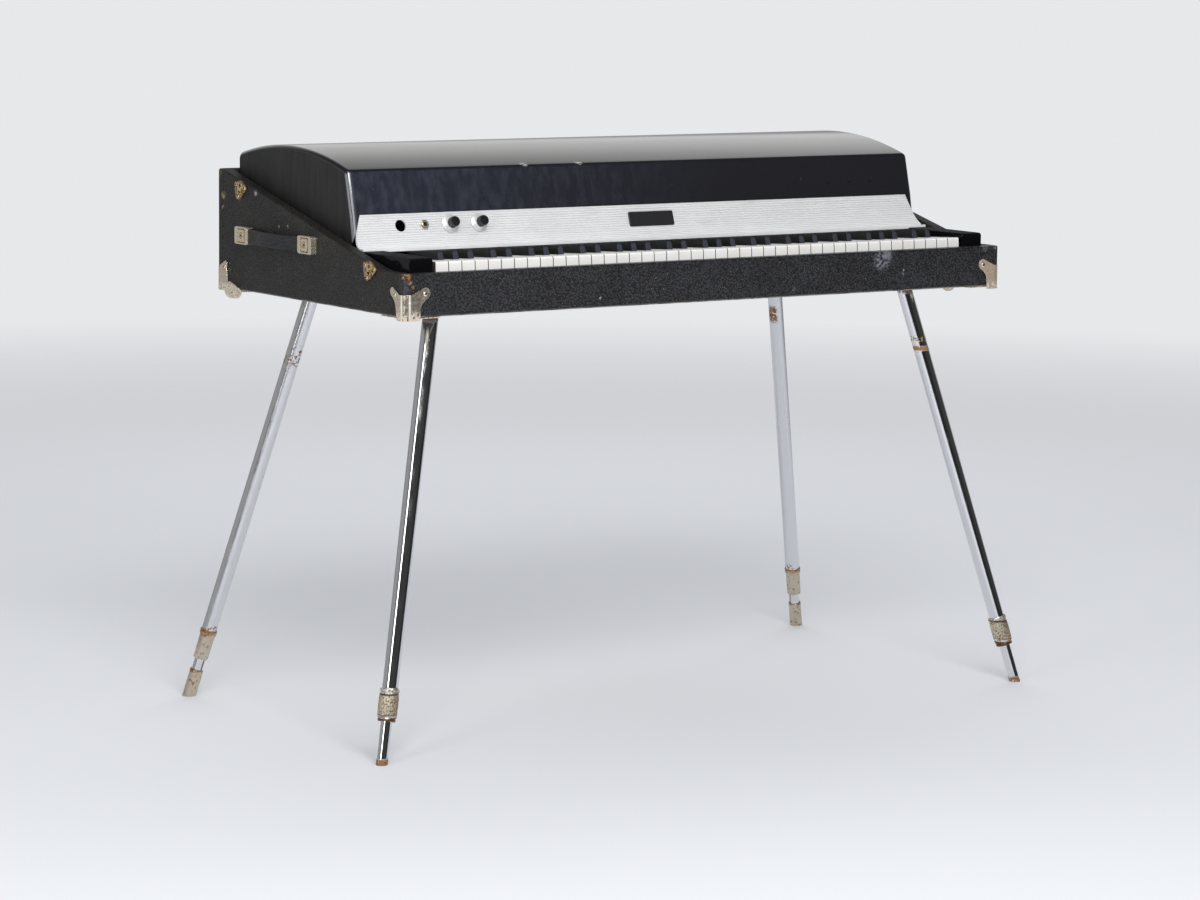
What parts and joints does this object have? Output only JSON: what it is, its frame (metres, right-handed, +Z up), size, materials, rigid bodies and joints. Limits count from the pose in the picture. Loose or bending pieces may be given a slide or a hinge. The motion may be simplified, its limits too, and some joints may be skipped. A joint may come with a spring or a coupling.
{
  "type": "electric_piano",
  "caption": "Vintage electric piano on four splayed chrome legs: black vinyl case with glossy curved harp cover, ribbed metal name rail, volume and bass knobs, handles and corner guards.",
  "frame": {"origin": "centre of the bounding box at floor level, under the middle of the case", "axes": "+X along the keyboard to the player's right, +Y from the player to the back, +Z up"},
  "size_m": [1.2666, 0.6284, 0.9056],
  "materials": {
    "vinyl": "pebbled",
    "cover_gloss": "polished",
    "rail_alu": "satin",
    "cheek_lacquer": "polished",
    "key_white": "polished",
    "key_black": "satin",
    "wood": "raw",
    "nickel": "aged",
    "brass": "aged",
    "chrome": "polished",
    "steel": "knurled",
    "strap_rubber": "matte",
    "knob_black": "satin"
  },
  "bodies": {
    "stand": {"case_left_side": "vinyl", "case_right_side": "vinyl", "case_front_rail": "vinyl", "case_back_panel": "vinyl", "case_bottom": "wood", "key_frame": "wood", "harp": "wood", "action_rail": "wood", "harp_cover": "cover_gloss", "name_rail": "rail_alu", "cheek_block_left": "cheek_lacquer", "cheek_block_right": "cheek_lacquer", "low_keys": "key_white", "high_keys": "key_white", "corner_guard_front_left": "nickel", "corner_guard_front_right": "nickel", "corner_guard_rear_left": "nickel", "corner_guard_rear_right": "nickel", "output_jack": "nickel", "handle_cap_front_left": "nickel", "handle_cap_front_right": "nickel", "handle_cap_rear_left": "nickel", "handle_cap_rear_right": "nickel", "latch_keeper_front_left": "brass", "latch_keeper_front_right": "brass", "latch_keeper_rear_left": "brass", "latch_keeper_rear_right": "brass", "handle_strap_left": "strap_rubber", "handle_strap_right": "strap_rubber", "leg_flange_front_left": "steel", "leg_flange_front_right": "steel", "leg_flange_rear_left": "steel", "leg_flange_rear_right": "steel", "leg_collar_front_left": "steel", "leg_collar_front_right": "steel", "leg_collar_rear_left": "steel", "leg_collar_rear_right": "steel", "leg_tube_front_left": "chrome", "leg_tube_front_right": "chrome", "leg_tube_rear_left": "chrome", "leg_tube_rear_right": "chrome"},
    "key_c": {"key_c": "key_white"},
    "key_d": {"key_d": "key_white"},
    "key_e": {"key_e": "key_white"},
    "key_f": {"key_f": "key_white"},
    "key_g": {"key_g": "key_white"},
    "key_a": {"key_a": "key_white"},
    "key_b": {"key_b": "key_white"},
    "key_c_upper": {"key_c_upper": "key_white"},
    "key_c_sharp": {"key_c_sharp": "key_black"},
    "key_d_sharp": {"key_d_sharp": "key_black"},
    "key_f_sharp": {"key_f_sharp": "key_black"},
    "key_g_sharp": {"key_g_sharp": "key_black"},
    "key_a_sharp": {"key_a_sharp": "key_black"},
    "volume_knob": {"volume_knob": "knob_black"},
    "bass_knob": {"bass_knob": "knob_black"},
    "leg_extension_front_left": {"leg_extension_front_left": "chrome"},
    "leg_extension_front_right": {"leg_extension_front_right": "chrome"},
    "leg_extension_rear_left": {"leg_extension_rear_left": "chrome"},
    "leg_extension_rear_right": {"leg_extension_rear_right": "chrome"}
  },
  "joints": [
    {"name": "key_c_press", "type": "hinge", "parent": "stand", "child": "key_c", "pos_m": [-0.0473, -0.0655, 0.71499], "axis": [1, 0, 0], "range_deg": [0, 2.7], "stiffness_Nm_per_rad": 0.8, "springref_deg": -20.05},
    {"name": "key_c_sharp_press", "type": "hinge", "parent": "stand", "child": "key_c_sharp", "pos_m": [-0.03784, -0.0655, 0.71499], "axis": [1, 0, 0], "range_deg": [0, 2.7], "stiffness_Nm_per_rad": 0.8, "springref_deg": -20.05},
    {"name": "key_d_press", "type": "hinge", "parent": "stand", "child": "key_d", "pos_m": [-0.02365, -0.0655, 0.71499], "axis": [1, 0, 0], "range_deg": [0, 2.7], "stiffness_Nm_per_rad": 0.8, "springref_deg": -20.05},
    {"name": "key_d_sharp_press", "type": "hinge", "parent": "stand", "child": "key_d_sharp", "pos_m": [-0.00946, -0.0655, 0.71499], "axis": [1, 0, 0], "range_deg": [0, 2.7], "stiffness_Nm_per_rad": 0.8, "springref_deg": -20.05},
    {"name": "key_e_press", "type": "hinge", "parent": "stand", "child": "key_e", "pos_m": [0, -0.0655, 0.71499], "axis": [1, 0, 0], "range_deg": [0, 2.7], "stiffness_Nm_per_rad": 0.8, "springref_deg": -20.05},
    {"name": "key_f_press", "type": "hinge", "parent": "stand", "child": "key_f", "pos_m": [0.02365, -0.0655, 0.71499], "axis": [1, 0, 0], "range_deg": [0, 2.7], "stiffness_Nm_per_rad": 0.8, "springref_deg": -20.05},
    {"name": "key_f_sharp_press", "type": "hinge", "parent": "stand", "child": "key_f_sharp", "pos_m": [0.0321, -0.0655, 0.71499], "axis": [1, 0, 0], "range_deg": [0, 2.7], "stiffness_Nm_per_rad": 0.8, "springref_deg": -20.05},
    {"name": "key_g_press", "type": "hinge", "parent": "stand", "child": "key_g", "pos_m": [0.0473, -0.0655, 0.71499], "axis": [1, 0, 0], "range_deg": [0, 2.7], "stiffness_Nm_per_rad": 0.8, "springref_deg": -20.05},
    {"name": "key_g_sharp_press", "type": "hinge", "parent": "stand", "child": "key_g_sharp", "pos_m": [0.05912, -0.0655, 0.71499], "axis": [1, 0, 0], "range_deg": [0, 2.7], "stiffness_Nm_per_rad": 0.8, "springref_deg": -20.05},
    {"name": "key_a_press", "type": "hinge", "parent": "stand", "child": "key_a", "pos_m": [0.07095, -0.0655, 0.71499], "axis": [1, 0, 0], "range_deg": [0, 2.7], "stiffness_Nm_per_rad": 0.8, "springref_deg": -20.05},
    {"name": "key_a_sharp_press", "type": "hinge", "parent": "stand", "child": "key_a_sharp", "pos_m": [0.08615, -0.0655, 0.71499], "axis": [1, 0, 0], "range_deg": [0, 2.7], "stiffness_Nm_per_rad": 0.8, "springref_deg": -20.05},
    {"name": "key_b_press", "type": "hinge", "parent": "stand", "child": "key_b", "pos_m": [0.0946, -0.0655, 0.71499], "axis": [1, 0, 0], "range_deg": [0, 2.7], "stiffness_Nm_per_rad": 0.8, "springref_deg": -20.05},
    {"name": "key_c_upper_press", "type": "hinge", "parent": "stand", "child": "key_c_upper", "pos_m": [0.11825, -0.0655, 0.71499], "axis": [1, 0, 0], "range_deg": [0, 2.7], "stiffness_Nm_per_rad": 0.8, "springref_deg": -20.05},
    {"name": "volume_knob_turn", "type": "hinge", "parent": "stand", "child": "volume_knob", "pos_m": [-0.375, -0.09426, 0.79101], "axis": [0, -0.9511, 0.309], "range_deg": [-150, 150]},
    {"name": "bass_knob_turn", "type": "hinge", "parent": "stand", "child": "bass_knob", "pos_m": [-0.322, -0.09426, 0.79101], "axis": [0, -0.9511, 0.309], "range_deg": [-150, 150]},
    {"name": "leg_extension_front_left_slide", "type": "slide", "parent": "stand", "child": "leg_extension_front_left", "axis": [-0.2299, -0.1785, -0.9567], "range_m": [-0.05, 0.08]},
    {"name": "leg_extension_front_right_slide", "type": "slide", "parent": "stand", "child": "leg_extension_front_right", "axis": [0.2299, -0.1785, -0.9567], "range_m": [-0.05, 0.08]},
    {"name": "leg_extension_rear_left_slide", "type": "slide", "parent": "stand", "child": "leg_extension_rear_left", "axis": [-0.2299, 0.1785, -0.9567], "range_m": [-0.012, 0.08]},
    {"name": "leg_extension_rear_right_slide", "type": "slide", "parent": "stand", "child": "leg_extension_rear_right", "axis": [0.2299, 0.1785, -0.9567], "range_m": [-0.012, 0.08]}
  ]
}
